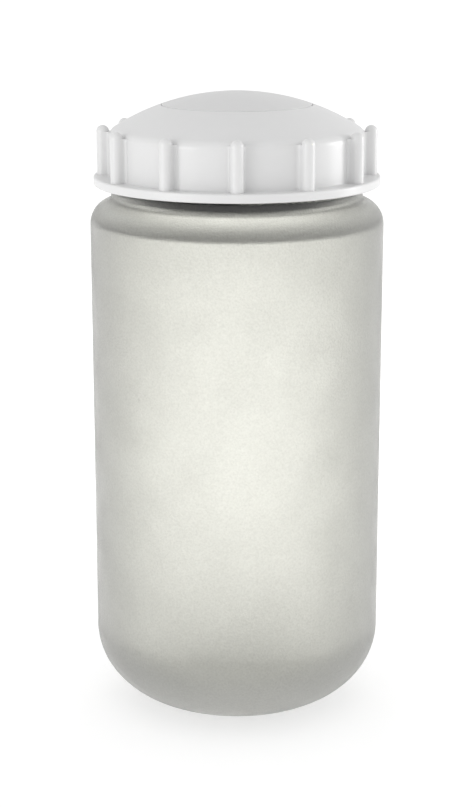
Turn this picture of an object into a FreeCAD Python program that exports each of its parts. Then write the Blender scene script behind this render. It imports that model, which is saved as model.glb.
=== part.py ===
import FreeCAD, Part
import math
import os

# Wide-mouth laboratory bottle with a screw cap and a captive sealing plug.
# Millimetres, +Z up. The origin is the centre of the base, on the surface the bottle stands on.
# The front of the bottle is -Y.

# Driving dimensions: bottle body
BODY_R = 31.0
WALL = 1.8
BASE_FLAT_R = 12.4
BASE_CORNER_H = 16.2
BASE_T = 2.6
INNER_FLAT_R = 7.5
INNER_CORNER_H = 18.0
PUSH_UP_R = 8.5
PUSH_UP_H = 0.6
SHOULDER_Z = 105.7
SHOULDER_R = 5.0
SHOULDER_ARC = 70.0
INNER_SHOULDER_Z = 105.6
INNER_SHOULDER_R = 0.8
INNER_SHOULDER_ARC = 48.5

# Neck and mouth
COLLAR_R = 26.5
COLLAR_TOP_Z = 113.6
COLLAR_FOOT_FILLET = 1.5
BORE_R = 21.9
BORE_LOW_Z = 113.3
NECK_FLARE_R = 24.2
NECK_FLARE_Z = 112.6
MOUTH_Z = 122.6

# Thread, right-handed, one start
THREAD_LEAD = 4.2
NECK_ROOT_R = 23.6
NECK_CREST_R = 24.8
CAP_BORE_R = 25.0
CAP_CREST_R = 23.8
RIDGE_ROOT_W = 2.0
RIDGE_CREST_W = 0.8
FLANK_GAP = 0.15
NECK_THREAD_LOW_Z = 115.1
NECK_THREAD_TURNS = 1.4
CAP_THREAD_LOW_Z = 115.8
CAP_THREAD_TURNS = 1.3

# Screw cap
DOME_TOP_Z = 133.15
DOME_R = 48.6
DOME_T = 1.9
CAP_WALL_R = 26.8
CAP_CORNER_R = 2.0
FLANGE_R = 30.2
FLANGE_LOW_Z = 113.95
FLANGE_TOP_Z = 115.8
HOLE_R = 15.85
LEDGE_R = 15.3
LEDGE_TOP_Z = 129.55
RIB_COUNT = 12
RIB_R = 1.35
RIB_CENTRE_R = 28.15
RIB_TOP_Z = 126.15
RIB_FILLET = 0.6

# Sealing plug and seal ring
PLUG_GAP = 0.25
HUB_NECK_R = 15.1
HUB_BEAD_R = 15.74
PLUG_T = 2.0
PLUG_FLANGE_R = 23.3
PLUG_FLANGE_TOP_Z = 124.3
PLUG_SKIRT_R = 21.55
PLUG_SKIRT_LOW_Z = 109.5
PLUG_INNER_R = 17.8
PLUG_INNER_TOP_Z = 121.8
GROOVE_R = 19.7
GROOVE_LOW_Z = 110.1
GROOVE_H = 5.0
RING_H = 4.6
RING_CORNER_R = 0.85
RING_BORE_GAP = 0.06

# Derived
DOME_CENTRE_Z = DOME_TOP_Z - DOME_R
THREAD_DEPTH = NECK_CREST_R - NECK_ROOT_R
UP = FreeCAD.Vector(0, 0, 1)
AXIS_FOOT = FreeCAD.Vector(0, 0, 0)


def at(r, z):
    """A point of a cross-section: radius r, height z."""
    return FreeCAD.Vector(r, 0, z)


def sphere_z(r, radius=DOME_R):
    """Height at radius r of the sphere of the given radius about the dome's centre."""
    return DOME_CENTRE_Z + math.sqrt(radius * radius - r * r)


def line(start, end):
    return Part.LineSegment(at(*start), at(*end)).toShape()


def dome_arc(start_r, end_r, radius=DOME_R):
    """Arc of a cross-section on the dome's sphere, between two radii from the axis."""
    middle_r = (start_r + end_r) / 2
    points = [at(r, sphere_z(r, radius)) for r in (start_r, middle_r, end_r)]
    return Part.Arc(*points).toShape()


def circle_arc(centre, radius, start_deg, end_deg):
    """Arc of a cross-section about a centre (r, z), angles from the +r direction."""
    points = []
    for angle in (start_deg, (start_deg + end_deg) / 2, end_deg):
        turn = math.radians(angle)
        points.append(at(centre[0] + radius * math.cos(turn), centre[1] + radius * math.sin(turn)))
    return Part.Arc(*points).toShape()


def base_corner(half_width, half_height, centre):
    """Quarter ellipse of a cross-section, from below the centre to beside it."""
    ellipse = Part.Ellipse(at(*centre), half_width, half_height)
    ellipse.Axis = FreeCAD.Vector(0, -1, 0)
    ellipse.XAxis = FreeCAD.Vector(1, 0, 0)
    return Part.ArcOfEllipse(ellipse, -math.pi / 2, 0).toShape()


def chain(points):
    """Straight edges through a list of (r, z) points."""
    return [line(a, b) for a, b in zip(points, points[1:])]


def revolved(edges):
    """Solid of revolution about the Z axis from the closed outline that the edges make."""
    outline = Part.Wire(Part.__sortEdges__(edges))
    return Part.Face(outline).revolve(AXIS_FOOT, UP, 360)


def rounded(solid, corners):
    """Round the circular edges about the axis that pass through each (r, z, radius)."""
    for r, z, radius in corners:
        found = []
        for edge in solid.Edges:
            box = edge.BoundBox
            level = abs(box.ZMin - z) < 0.02 and abs(box.ZMax - z) < 0.02
            if level and abs(box.XMax - r) < 0.02 and abs(box.XMin + r) < 0.02:
                found.append(edge)
        if not found:
            raise ValueError("no edge at r %.2f z %.2f" % (r, z))
        solid = solid.makeFillet(radius, found)
    return solid


def thread_ridge(root_r, crest_r, low_z, turns, start_deg):
    """Trapezoidal helical ridge on a cylinder of root_r, its centre line rising from low_z."""
    outward = 1 if crest_r > root_r else -1
    embed = 0.4
    slope = (RIDGE_ROOT_W - RIDGE_CREST_W) / 2 / abs(crest_r - root_r)
    half_foot = RIDGE_ROOT_W / 2 + slope * embed
    half_crest = RIDGE_CREST_W / 2
    foot_r = root_r - outward * embed
    lower = [at(foot_r, -half_foot), at(crest_r, -half_crest)]
    upper = [at(crest_r, half_crest), at(foot_r, half_foot)]
    corners = lower + upper
    section = Part.makePolygon(corners + corners[:1])
    path = Part.makeHelix(THREAD_LEAD, THREAD_LEAD * turns, crest_r)
    ridge = Part.Wire(path.Edges).makePipeShell([Part.Wire(section.Edges)], True, True)
    ridge.translate(FreeCAD.Vector(0, 0, low_z))
    ridge.rotate(AXIS_FOOT, UP, start_deg)
    return ridge


def end_block(z, angle_deg, inner_x, outer_x, half_y):
    """Block about one end of a thread, one pitch tall, turned to the end's angle."""
    height = THREAD_LEAD * 0.8
    corner = FreeCAD.Vector(inner_x, -half_y, z - height / 2)
    block = Part.makeBox(outer_x - inner_x, 2 * half_y, height, corner)
    block.rotate(AXIS_FOOT, UP, angle_deg)
    return block


def neck_thread():
    """External ridge whose two ends are planed off along flats tangent to the neck."""
    ridge = thread_ridge(NECK_ROOT_R, NECK_CREST_R, NECK_THREAD_LOW_Z, NECK_THREAD_TURNS, 0)
    top_z = NECK_THREAD_LOW_Z + THREAD_LEAD * NECK_THREAD_TURNS
    for z, angle in ((NECK_THREAD_LOW_Z, 0), (top_z, 360 * NECK_THREAD_TURNS)):
        ridge = ridge.cut(end_block(z, angle, NECK_ROOT_R, CAP_BORE_R + 2, 9))
    return ridge


def cap_thread():
    """Internal ridge that lies just under the neck's ridge, its ends run out by eccentric bores."""
    mid_r = (NECK_ROOT_R + CAP_CREST_R) / 2
    slope = (RIDGE_ROOT_W - RIDGE_CREST_W) / 2 / THREAD_DEPTH
    neck_half = RIDGE_ROOT_W / 2 - slope * (mid_r - NECK_ROOT_R)
    cap_half = RIDGE_CREST_W / 2 + slope * (mid_r - CAP_CREST_R)
    below = neck_half + cap_half + FLANK_GAP
    start_turns = (CAP_THREAD_LOW_Z + below - NECK_THREAD_LOW_Z) / THREAD_LEAD
    start_deg = 360 * start_turns
    ridge = thread_ridge(CAP_BORE_R, CAP_CREST_R, CAP_THREAD_LOW_Z, CAP_THREAD_TURNS, start_deg)
    top_z = CAP_THREAD_LOW_Z + THREAD_LEAD * CAP_THREAD_TURNS
    run_out_r = 18.0
    height = THREAD_LEAD * 0.8
    for z, angle in ((CAP_THREAD_LOW_Z, start_deg), (top_z, start_deg + 360 * CAP_THREAD_TURNS)):
        bore = Part.makeCylinder(run_out_r, height, at(CAP_BORE_R - run_out_r, z - height / 2))
        bore.rotate(AXIS_FOOT, UP, angle)
        ridge = ridge.cut(bore)
    return ridge


def bottle():
    """Body, shoulder, collar and threaded neck, hollow, moulded in one."""
    turn = math.radians(SHOULDER_ARC)
    fall = 1 / math.tan(turn)
    arc_centre_r = BODY_R - SHOULDER_R
    arc_end = (arc_centre_r + SHOULDER_R * math.cos(turn), SHOULDER_Z + SHOULDER_R * math.sin(turn))
    foot = (COLLAR_R, arc_end[1] + (arc_end[0] - COLLAR_R) * fall)
    inner_r = BODY_R - WALL
    cone_turn = math.radians(INNER_SHOULDER_ARC)
    bend = (inner_r - INNER_SHOULDER_R, INNER_SHOULDER_Z)
    cone_low = (bend[0] + INNER_SHOULDER_R * math.cos(cone_turn),
                bend[1] + INNER_SHOULDER_R * math.sin(cone_turn))
    cone_high = (NECK_FLARE_R, cone_low[1] + (cone_low[0] - NECK_FLARE_R) / math.tan(cone_turn))

    outside = chain([(0, PUSH_UP_H), (PUSH_UP_R, PUSH_UP_H), (PUSH_UP_R + 1.5, 0), (BASE_FLAT_R, 0)])
    outside.append(base_corner(BODY_R - BASE_FLAT_R, BASE_CORNER_H, (BASE_FLAT_R, BASE_CORNER_H)))
    outside.append(line((BODY_R, BASE_CORNER_H), (BODY_R, SHOULDER_Z)))
    outside.append(circle_arc((arc_centre_r, SHOULDER_Z), SHOULDER_R, 0, SHOULDER_ARC))
    outside += chain([arc_end, foot, (COLLAR_R, COLLAR_TOP_Z), (NECK_ROOT_R, COLLAR_TOP_Z),
                      (NECK_ROOT_R, MOUTH_Z)])
    rim = chain([(NECK_ROOT_R, MOUTH_Z), (BORE_R, MOUTH_Z)])
    inside = chain([(BORE_R, MOUTH_Z), (BORE_R, BORE_LOW_Z), (NECK_FLARE_R, NECK_FLARE_Z),
                    cone_high, cone_low])
    inside.append(circle_arc(bend, INNER_SHOULDER_R, INNER_SHOULDER_ARC, 0))
    inside.append(line((inner_r, INNER_SHOULDER_Z), (inner_r, INNER_CORNER_H)))
    inside.append(base_corner(inner_r - INNER_FLAT_R, INNER_CORNER_H - BASE_T,
                              (INNER_FLAT_R, INNER_CORNER_H)))
    inside += chain([(INNER_FLAT_R, BASE_T), (0, BASE_T), (0, PUSH_UP_H)])
    body = revolved(outside + rim + inside)
    body = rounded(body, [
        (foot[0], foot[1], COLLAR_FOOT_FILLET),
        (COLLAR_R, COLLAR_TOP_Z, 0.6),
        (NECK_ROOT_R, COLLAR_TOP_Z, 0.5),
        (NECK_ROOT_R, MOUTH_Z, 0.5),
        (BORE_R, MOUTH_Z, 0.7),
        (BORE_R, BORE_LOW_Z, 0.5),
        (NECK_FLARE_R, NECK_FLARE_Z, 0.5),
        (NECK_FLARE_R, cone_high[1], 0.9),
        (PUSH_UP_R, PUSH_UP_H, 0.8),
        (PUSH_UP_R + 1.5, 0, 0.8),
    ])
    return body.fuse(neck_thread())


def grip_rib(angle_deg):
    """Upright rib: full-round outer edge, domed top, filleted where it leaves the cap's wall."""
    inner_u = CAP_WALL_R - 1.0
    side_u = CAP_WALL_R + RIB_FILLET
    foot_v = RIB_R + RIB_FILLET
    bend = RIB_FILLET * math.cos(math.radians(45))
    low_z = FLANGE_LOW_Z + 1.0
    shoulder_z = RIB_TOP_Z - RIB_R

    def spot(u, v):
        return FreeCAD.Vector(u, v, low_z)

    edges = [Part.LineSegment(spot(inner_u, -foot_v), spot(CAP_WALL_R, -foot_v)).toShape()]
    for side in (-1, 1):
        middle = spot(side_u - bend, side * (foot_v - bend))
        edges.append(Part.Arc(spot(CAP_WALL_R, side * foot_v), middle, spot(side_u, side * RIB_R)).toShape())
        edges.append(Part.LineSegment(spot(side_u, side * RIB_R), spot(RIB_CENTRE_R, side * RIB_R)).toShape())
    nose = spot(RIB_CENTRE_R + RIB_R, 0)
    edges.append(Part.Arc(spot(RIB_CENTRE_R, -RIB_R), nose, spot(RIB_CENTRE_R, RIB_R)).toShape())
    edges.append(Part.LineSegment(spot(inner_u, foot_v), spot(CAP_WALL_R, foot_v)).toShape())
    edges.append(Part.LineSegment(spot(inner_u, -foot_v), spot(inner_u, foot_v)).toShape())
    outline = Part.Wire(Part.__sortEdges__(edges))
    web = Part.Face(outline).extrude(FreeCAD.Vector(0, 0, shoulder_z - low_z))
    tip = Part.makeSphere(RIB_R, FreeCAD.Vector(RIB_CENTRE_R, 0, shoulder_z))
    rib = web.fuse(tip)
    rib.rotate(AXIS_FOOT, UP, angle_deg)
    return rib


def screw_cap():
    """Domed ring with a central hole, a flange, twelve ribs and an internal thread."""
    inner_dome_r = DOME_R - DOME_T
    corner_z = sphere_z(CAP_WALL_R)
    hole_top_z = sphere_z(HOLE_R)
    ledge_low_z = sphere_z(LEDGE_R, inner_dome_r)
    bore_top_z = sphere_z(CAP_BORE_R, inner_dome_r)
    edges = [dome_arc(HOLE_R, CAP_WALL_R)]
    edges += chain([(CAP_WALL_R, corner_z), (CAP_WALL_R, FLANGE_TOP_Z), (FLANGE_R, FLANGE_TOP_Z),
                    (FLANGE_R, FLANGE_LOW_Z), (CAP_BORE_R + 0.5, FLANGE_LOW_Z),
                    (CAP_BORE_R, FLANGE_LOW_Z + 0.5), (CAP_BORE_R, bore_top_z)])
    edges.append(dome_arc(CAP_BORE_R, LEDGE_R, inner_dome_r))
    edges += chain([(LEDGE_R, ledge_low_z), (LEDGE_R, LEDGE_TOP_Z), (HOLE_R, LEDGE_TOP_Z),
                    (HOLE_R, hole_top_z)])
    ring = revolved(edges)
    ring = rounded(ring, [
        (CAP_WALL_R, corner_z, CAP_CORNER_R),
        (CAP_WALL_R, FLANGE_TOP_Z, 0.4),
        (FLANGE_R, FLANGE_TOP_Z, 0.35),
        (FLANGE_R, FLANGE_LOW_Z, 0.35),
        (HOLE_R, hole_top_z, 0.12),
    ])
    ribs = [grip_rib(-90 + 360 / RIB_COUNT * number) for number in range(RIB_COUNT)]
    return ring.fuse(ribs + [cap_thread()])


def seal_plug():
    """Hollow plug: hub that shows through the cap, flange on the mouth rim, grooved skirt below."""
    hub_low_z = LEDGE_TOP_Z + PLUG_GAP
    hub_top_z = sphere_z(HUB_BEAD_R)
    neck_low_z = sphere_z(HUB_NECK_R, DOME_R - DOME_T - PLUG_GAP)
    flange_low_z = MOUTH_Z + 0.1
    groove_top_z = GROOVE_LOW_Z + GROOVE_H
    hub_inner_r = HUB_NECK_R - PLUG_T
    inner_dome_r = DOME_R - PLUG_T
    edges = [dome_arc(0, HUB_BEAD_R)]
    edges += chain([(HUB_BEAD_R, hub_top_z), (HUB_BEAD_R, hub_low_z), (HUB_NECK_R, hub_low_z),
                    (HUB_NECK_R, neck_low_z), (PLUG_FLANGE_R, PLUG_FLANGE_TOP_Z),
                    (PLUG_FLANGE_R, flange_low_z), (PLUG_SKIRT_R, flange_low_z),
                    (PLUG_SKIRT_R, groove_top_z), (GROOVE_R, groove_top_z),
                    (GROOVE_R, GROOVE_LOW_Z), (PLUG_SKIRT_R, GROOVE_LOW_Z),
                    (PLUG_SKIRT_R - 0.4, PLUG_SKIRT_LOW_Z), (PLUG_INNER_R, PLUG_SKIRT_LOW_Z),
                    (PLUG_INNER_R, PLUG_INNER_TOP_Z), (hub_inner_r, neck_low_z - PLUG_T),
                    (hub_inner_r, sphere_z(hub_inner_r, inner_dome_r))])
    edges.append(dome_arc(hub_inner_r, 0, inner_dome_r))
    edges.append(line((0, sphere_z(0, inner_dome_r)), (0, DOME_TOP_Z)))
    plug = revolved(edges)
    return rounded(plug, [
        (HUB_BEAD_R, hub_top_z, 0.15),
        (PLUG_FLANGE_R, PLUG_FLANGE_TOP_Z, 0.3),
        (PLUG_INNER_R, PLUG_INNER_TOP_Z, 1.0),
        (PLUG_INNER_R, PLUG_SKIRT_LOW_Z, 0.6),
        (hub_inner_r, sphere_z(hub_inner_r, inner_dome_r), 1.0),
    ])


def seal_ring():
    """Tall soft ring as it sits squeezed in the plug's groove, just clear of the mouth bore."""
    outer_r = BORE_R - RING_BORE_GAP
    low_z = GROOVE_LOW_Z + (GROOVE_H - RING_H) / 2
    high_z = low_z + RING_H
    ring = revolved(chain([(GROOVE_R, low_z), (outer_r, low_z), (outer_r, high_z),
                           (GROOVE_R, high_z), (GROOVE_R, low_z)]))
    corners = [(r, z, RING_CORNER_R) for r in (GROOVE_R, outer_r) for z in (low_z, high_z)]
    return rounded(ring, corners)


def main():
    os.makedirs("parts", exist_ok=True)
    nodes = {"bottle": bottle, "screw_cap": screw_cap, "seal_plug": seal_plug, "seal_ring": seal_ring}
    for name, make in nodes.items():
        shape = make()
        if not shape.isValid() or len(shape.Solids) != 1:
            raise ValueError("%s: %d solids, valid %s" % (name, len(shape.Solids), shape.isValid()))
        shape.Solids[0].exportStep("parts/%s.step" % name)
        box = shape.BoundBox
        size = (box.XLength, box.YLength, box.ZMin, box.ZMax, shape.Volume / 1000)
        print("%-10s x %.2f y %.2f z %.2f to %.2f mm, %.2f cm3" % ((name,) + size))


main()
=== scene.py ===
"""Looks for the wide-mouth laboratory bottle: frosted body, ribbed cap, sealing plug and seal ring."""
import math

import bmesh
import bpy
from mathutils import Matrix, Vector


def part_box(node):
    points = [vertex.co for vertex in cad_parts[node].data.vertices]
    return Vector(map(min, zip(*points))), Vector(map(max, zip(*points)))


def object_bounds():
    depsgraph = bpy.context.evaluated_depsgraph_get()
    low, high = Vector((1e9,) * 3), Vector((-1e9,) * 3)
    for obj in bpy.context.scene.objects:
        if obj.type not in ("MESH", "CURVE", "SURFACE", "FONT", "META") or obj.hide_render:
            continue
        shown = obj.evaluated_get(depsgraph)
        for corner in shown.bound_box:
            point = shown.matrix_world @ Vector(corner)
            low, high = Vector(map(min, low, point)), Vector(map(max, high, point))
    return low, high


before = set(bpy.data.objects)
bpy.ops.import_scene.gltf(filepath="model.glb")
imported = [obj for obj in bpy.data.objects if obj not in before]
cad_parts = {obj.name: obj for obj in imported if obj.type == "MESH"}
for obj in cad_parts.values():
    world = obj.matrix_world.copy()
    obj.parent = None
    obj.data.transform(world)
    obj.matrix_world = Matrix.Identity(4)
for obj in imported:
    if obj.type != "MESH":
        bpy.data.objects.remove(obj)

bl_info = {
    "name": "Laboratory bottle",
    "version": (1, 0, 0),
    "blender": (4, 5, 0),
    "location": "3D View > Sidebar > Lab Bottle",
    "description": "Finishes and studio for a frosted wide-mouth bottle with a sealing screw cap",
    "category": "Object",
}

CAD_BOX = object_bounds()
BOTTLE_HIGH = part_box("bottle")[1]
BODY_R = BOTTLE_HIGH.x
MM = 0.001

# Plastics and rubber
PLASTIC_IOR = 1.49
RUBBER_IOR = 1.41
SCATTER_SHARE = 0.3
SCATTER_DEPTH = 1.2 * MM

# Sizes and depths of the surface textures
CLOUD_SIZE = 9 * MM
GRAIN_DEPTH = 0.1 * MM
FLOW_SIZE = 7 * MM
FLOW_DEPTH = 0.02 * MM
MOTTLE_SIZE = 2.2 * MM
MOULD_TEXTURE_SIZE = 0.35 * MM
MOULD_TEXTURE_DEPTH = 0.004 * MM
BLOOM_SIZE = 1.5 * MM
BLOOM_DEPTH = 0.02 * MM
PAPER_FIBRE_SIZE = 3 * MM

# Stage: lengths in metres, powers in watts
FLOOR_HALF_WIDTH = 12.0
FLOOR_DROP = 0.05 * MM
PAPER_TINTS = ((0.555, 0.555, 0.555), (0.57, 0.57, 0.57))
POOL_SPOT = (0, 0.34, 0)
POOL_LIGHT = {"place": (0, 0.34, 0.06), "width": 0.02, "height": 0.48, "power": 0.245}
LEFT_LIGHT = {"place": (-0.85, -0.7, 0.15), "width": 0.5, "height": 0.6, "power": 3.9}
RIGHT_LIGHT = {"place": (1.0, 0.18, 0.15), "width": 0.3, "height": 0.6, "power": 4.8}


# ---------------------------------------------------------------- settings

class FrostSettings(bpy.types.PropertyGroup):
    colour: bpy.props.FloatVectorProperty(
        name="Plastic colour", description="Natural tint of the frosted plastic",
        subtype="COLOR", size=3, min=0, max=1, default=(0.85, 0.85, 0.812))
    roughness: bpy.props.FloatProperty(
        name="Roughness", description="Mean roughness of the frosted wall",
        subtype="FACTOR", min=0, max=1, default=0.35)
    transmission: bpy.props.FloatProperty(
        name="Transmission", description="Share of the light that passes through the wall",
        subtype="FACTOR", min=0, max=1, default=1.0)
    grain_size: bpy.props.FloatProperty(
        name="Grain size", description="Width of the grain of the frosted surface",
        unit="LENGTH", min=0.00005, max=0.002, precision=5, default=0.00045)


class CapSettings(bpy.types.PropertyGroup):
    colour: bpy.props.FloatVectorProperty(
        name="Cap colour", description="Colour of the white cap",
        subtype="COLOR", size=3, min=0, max=1, default=(0.70, 0.70, 0.70))
    # Plug colour: the cap's white plastic, set a little darker as painted shade, so the hub on top of the
    # cap reads darker than the dome around it.
    plug_colour_with_painted_shade: bpy.props.FloatVectorProperty(
        name="Plug colour", description="Colour of the sealing plug",
        subtype="COLOR", size=3, min=0, max=1, default=(0.655, 0.655, 0.655))
    # Seal ring colour: near-black; seen through the frosted collar, the ring makes the dark band under the
    # cap's flange.
    ring_colour: bpy.props.FloatVectorProperty(
        name="Seal ring colour", description="Colour of the silicone seal ring",
        subtype="COLOR", size=3, min=0, max=1, default=(0.022, 0.022, 0.022))
    roughness: bpy.props.FloatProperty(
        name="Roughness", description="Mean roughness of the moulded cap",
        subtype="FACTOR", min=0, max=1, default=0.3)


class StageSettings(bpy.types.PropertyGroup):
    distance: bpy.props.FloatProperty(
        name="Camera distance", description="Level distance from the bottle's axis to the camera",
        unit="LENGTH", min=0.1, max=5, default=12.8 * BODY_R)
    height: bpy.props.FloatProperty(
        name="Camera height", description="Height of the camera above the floor",
        unit="LENGTH", min=0, max=5, default=5.436 * BODY_R)
    pitch: bpy.props.FloatProperty(
        name="Camera pitch", description="How far the camera looks down",
        subtype="ANGLE", min=0, max=math.pi / 2, default=math.radians(14.5))
    lens: bpy.props.FloatProperty(
        name="Focal length", description="Focal length on a 36 mm sensor",
        subtype="DISTANCE_CAMERA", min=10, max=500, default=84.13)
    sky: bpy.props.FloatProperty(
        name="Surround light", description="Strength of the even light from all round",
        min=0, max=10, default=0.84)
    glow: bpy.props.FloatProperty(
        name="Floor glow", description="Light that the floor gives off by itself",
        min=0, max=10, default=0.61)


# ---------------------------------------------------------------- materials

def new_material(name):
    """An empty node material, its node tree, its shader and its object coordinates."""
    material = bpy.data.materials.new(name)
    material.use_nodes = True
    tree = material.node_tree
    tree.nodes.clear()
    output = tree.nodes.new("ShaderNodeOutputMaterial")
    shader = tree.nodes.new("ShaderNodeBsdfPrincipled")
    tree.links.new(shader.outputs["BSDF"], output.inputs["Surface"])
    coords = tree.nodes.new("ShaderNodeTexCoord")
    return material, tree, shader, coords.outputs["Object"]


def add_noise(tree, coords, size, detail=2.0, roughness=0.5):
    """Noise whose features are about size metres across."""
    noise = tree.nodes.new("ShaderNodeTexNoise")
    noise.inputs["Scale"].default_value = 1 / size
    noise.inputs["Detail"].default_value = detail
    noise.inputs["Roughness"].default_value = roughness
    tree.links.new(coords, noise.inputs["Vector"])
    return noise.outputs["Fac"]


def spread(tree, factor, low, high, from_low=0.3, from_high=0.7):
    """A factor's usual range mapped to the range low to high."""
    node = tree.nodes.new("ShaderNodeMapRange")
    node.inputs["From Min"].default_value = from_low
    node.inputs["From Max"].default_value = from_high
    node.inputs["To Min"].default_value = low
    node.inputs["To Max"].default_value = high
    tree.links.new(factor, node.inputs["Value"])
    return node.outputs["Result"]


def tint_mix(tree, factor, low_colour, high_colour):
    """Colour that goes from one tint to the other with a factor."""
    node = tree.nodes.new("ShaderNodeMix")
    node.data_type = "RGBA"
    node.inputs["A"].default_value = (*low_colour, 1)
    node.inputs["B"].default_value = (*high_colour, 1)
    tree.links.new(factor, node.inputs["Factor"])
    return node.outputs["Result"]


def add_bump(tree, height, depth, normal=None, strength=1.0):
    """Bump whose full height is depth metres."""
    bump = tree.nodes.new("ShaderNodeBump")
    bump.inputs["Strength"].default_value = strength
    bump.inputs["Distance"].default_value = depth
    tree.links.new(height, bump.inputs["Height"])
    if normal is not None:
        tree.links.new(normal, bump.inputs["Normal"])
    return bump.outputs["Normal"]


def frosted_plastic(settings):
    """Natural polypropylene with a fine frosted skin: cloudy, softly translucent, slightly warm."""
    material, tree, shader, coords = new_material("frosted_polypropylene")
    grain = add_noise(tree, coords, settings.grain_size, detail=3.0, roughness=0.6)
    cloud = add_noise(tree, coords, CLOUD_SIZE, detail=3.0)
    base = settings.colour
    dark = [c * 0.8 for c in base]
    light = [min(1.0, c * 1.15) for c in base]
    tint = tint_mix(tree, spread(tree, grain, 0, 1, 0.2, 0.8), dark, light)
    tree.links.new(tint, shader.inputs["Base Color"])
    rough_low = settings.roughness - 0.06
    tree.links.new(spread(tree, cloud, rough_low, rough_low + 0.12), shader.inputs["Roughness"])
    tree.links.new(add_bump(tree, grain, GRAIN_DEPTH, strength=0.7), shader.inputs["Normal"])
    shader.inputs["IOR"].default_value = PLASTIC_IOR
    shader.inputs["Transmission Weight"].default_value = settings.transmission
    return material


def moulded_plastic(name, colour, roughness):
    """Glossy moulded polypropylene: soft surface waviness, fine mould texture, uneven gloss."""
    material, tree, shader, coords = new_material(name)
    flow = add_noise(tree, coords, FLOW_SIZE)
    texture = add_noise(tree, coords, MOULD_TEXTURE_SIZE)
    mottle = add_noise(tree, coords, MOTTLE_SIZE, detail=3.0)
    dark = [c * 0.99 for c in colour]
    light = [min(1.0, c * 1.01) for c in colour]
    tree.links.new(tint_mix(tree, mottle, dark, light), shader.inputs["Base Color"])
    tree.links.new(spread(tree, flow, roughness - 0.04, roughness + 0.04, 0, 1), shader.inputs["Roughness"])
    wavy = add_bump(tree, flow, FLOW_DEPTH, strength=0.3)
    fine = add_bump(tree, texture, MOULD_TEXTURE_DEPTH, wavy, strength=0.3)
    tree.links.new(fine, shader.inputs["Normal"])
    shader.inputs["IOR"].default_value = PLASTIC_IOR
    shader.inputs["Subsurface Weight"].default_value = SCATTER_SHARE
    shader.inputs["Subsurface Radius"].default_value = (1.0, 1.0, 0.95)
    shader.inputs["Subsurface Scale"].default_value = SCATTER_DEPTH
    return material


def silicone_rubber(colour):
    """Soft satin silicone with a faint dusty bloom."""
    material, tree, shader, coords = new_material("seal_rubber")
    bloom = add_noise(tree, coords, BLOOM_SIZE, detail=3.0)
    dark = [c * 0.85 for c in colour]
    tint = tint_mix(tree, spread(tree, bloom, 0, 1), dark, list(colour))
    tree.links.new(tint, shader.inputs["Base Color"])
    tree.links.new(spread(tree, bloom, 0.42, 0.6), shader.inputs["Roughness"])
    tree.links.new(add_bump(tree, bloom, BLOOM_DEPTH, strength=0.4), shader.inputs["Normal"])
    shader.inputs["IOR"].default_value = RUBBER_IOR
    return material


def studio_paper(glow):
    """Plain white translucent sheet, lit evenly from below like a light table."""
    material, tree, shader, coords = new_material("studio_paper")
    fibre = add_noise(tree, coords, PAPER_FIBRE_SIZE, detail=4.0)
    tint = tint_mix(tree, fibre, *PAPER_TINTS)
    tree.links.new(tint, shader.inputs["Base Color"])
    shader.inputs["Roughness"].default_value = 0.95
    shader.inputs["Specular IOR Level"].default_value = 0.1
    shader.inputs["Emission Color"].default_value = (1, 1, 1, 1)
    shader.inputs["Emission Strength"].default_value = glow
    return material


def finish_node(node, material):
    """Give a carried-over CAD node its material."""
    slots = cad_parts[node].data.materials
    slots.clear()
    slots.append(material)


# ---------------------------------------------------------------- stage

def add_softbox(name, target, place, width, height, power):
    """Rectangular area light at place, aimed at target."""
    light = bpy.data.lights.new(name, "AREA")
    light.shape = "RECTANGLE"
    light.size = width
    light.size_y = height
    light.energy = power
    holder = bpy.data.objects.new(name, light)
    bpy.context.scene.collection.objects.link(holder)
    holder.location = place
    aim = Vector(target) - Vector(place)
    holder.rotation_euler = aim.to_track_quat("-Z", "Y").to_euler()
    return holder


def light_only(light, receivers):
    """Let a light fall on the given objects alone."""
    group = bpy.data.collections.new(light.name + "_receivers")
    for receiver in receivers:
        group.objects.link(receiver)
    light.light_linking.receiver_collection = group


def add_floor(material):
    """Large flat sheet of paper that the bottle stands on."""
    mesh = bpy.data.meshes.new("floor")
    shape = bmesh.new()
    bmesh.ops.create_grid(shape, x_segments=8, y_segments=8, size=FLOOR_HALF_WIDTH)
    shape.to_mesh(mesh)
    shape.free()
    mesh.materials.append(material)
    floor = bpy.data.objects.new("floor", mesh)
    bpy.context.scene.collection.objects.link(floor)
    floor.location.z = CAD_BOX[0][2] - FLOOR_DROP
    return floor


def add_camera(settings):
    """Camera on the front centre line, looking slightly down."""
    lens = bpy.data.cameras.new("camera")
    lens.lens = settings.lens
    lens.sensor_width = 36
    lens.sensor_fit = "AUTO"
    lens.clip_start = 0.01
    holder = bpy.data.objects.new("camera", lens)
    bpy.context.scene.collection.objects.link(holder)
    holder.location = (0, -settings.distance, settings.height)
    holder.rotation_euler = (math.pi / 2 - settings.pitch, 0, 0)
    bpy.context.scene.camera = holder
    return holder


def add_surround(strength):
    """Even white light from all round."""
    world = bpy.data.worlds.new("surround")
    world.use_nodes = True
    background = world.node_tree.nodes["Background"]
    background.inputs["Color"].default_value = (1, 1, 1, 1)
    background.inputs["Strength"].default_value = strength
    bpy.context.scene.world = world


# ---------------------------------------------------------------- operators

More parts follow.
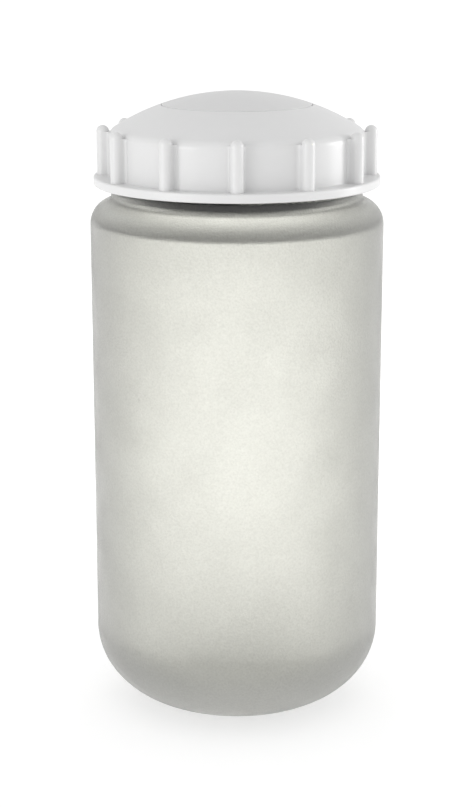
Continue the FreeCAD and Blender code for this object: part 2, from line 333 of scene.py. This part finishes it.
class LABBOTTLE_OT_stage(bpy.types.Operator):
    """Add the floor, the studio lights and the camera"""
    bl_idname = "labbottle.stage"
    bl_label = "Studio stage"

    def execute(self, context):
        settings = context.scene.lab_stage
        add_camera(settings)
        floor = add_floor(studio_paper(settings.glow))
        add_surround(settings.sky)
        context.scene.view_settings.view_transform = "Standard"
        middle = (0, 0, 0.5 * BOTTLE_HIGH.z)
        closure = [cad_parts[node] for node in ("screw_cap", "seal_plug")]
        pool = add_softbox("floor_pool", POOL_SPOT, **POOL_LIGHT)
        light_only(pool, [floor])
        left = add_softbox("left_light", middle, **LEFT_LIGHT)
        light_only(left, closure)
        right = add_softbox("right_light", middle, **RIGHT_LIGHT)
        light_only(right, closure)
        return {"FINISHED"}


class LABBOTTLE_OT_bottle(bpy.types.Operator):
    """Finish the frosted bottle"""
    bl_idname = "labbottle.bottle"
    bl_label = "Frosted bottle"

    def execute(self, context):
        finish_node("bottle", frosted_plastic(context.scene.lab_frost))
        return {"FINISHED"}


class LABBOTTLE_OT_closure(bpy.types.Operator):
    """Finish the screw cap, the sealing plug and the seal ring"""
    bl_idname = "labbottle.closure"
    bl_label = "Closure"

    def execute(self, context):
        settings = context.scene.lab_cap
        roughness = settings.roughness
        finish_node("screw_cap", moulded_plastic("white_polypropylene", settings.colour, roughness))
        # The plug gets the darker plug colour: painted shade on the hub.
        finish_node("seal_plug", moulded_plastic("plug_polypropylene", settings.plug_colour_with_painted_shade, roughness))
        finish_node("seal_ring", silicone_rubber(settings.ring_colour))
        return {"FINISHED"}


class LABBOTTLE_PT_panel(bpy.types.Panel):
    """Settings and operators of the laboratory bottle"""
    bl_idname = "LABBOTTLE_PT_panel"
    bl_label = "Laboratory bottle"
    bl_space_type = "VIEW_3D"
    bl_region_type = "UI"
    bl_category = "Lab Bottle"

    def draw(self, context):
        layout = self.layout
        scene = context.scene
        groups = (
            (scene.lab_frost, ("colour", "roughness", "transmission", "grain_size"), "labbottle.bottle"),
            (scene.lab_cap, ("colour", "plug_colour_with_painted_shade", "ring_colour", "roughness"), "labbottle.closure"),
            (scene.lab_stage, ("distance", "height", "pitch", "lens", "sky", "glow"), "labbottle.stage"),
        )
        for settings, names, operator in groups:
            box = layout.box()
            for name in names:
                box.prop(settings, name)
            box.operator(operator)


CLASSES = (
    FrostSettings,
    CapSettings,
    StageSettings,
    LABBOTTLE_OT_stage,
    LABBOTTLE_OT_bottle,
    LABBOTTLE_OT_closure,
    LABBOTTLE_PT_panel,
)


def register():
    for item in CLASSES:
        bpy.utils.register_class(item)
    bpy.types.Scene.lab_frost = bpy.props.PointerProperty(type=FrostSettings)
    bpy.types.Scene.lab_cap = bpy.props.PointerProperty(type=CapSettings)
    bpy.types.Scene.lab_stage = bpy.props.PointerProperty(type=StageSettings)


def unregister():
    del bpy.types.Scene.lab_stage
    del bpy.types.Scene.lab_cap
    del bpy.types.Scene.lab_frost
    for item in reversed(CLASSES):
        bpy.utils.unregister_class(item)


def main():
    register()
    bpy.ops.labbottle.stage()
    bpy.ops.labbottle.bottle()
    bpy.ops.labbottle.closure()


if __name__ == "__main__":
    main()
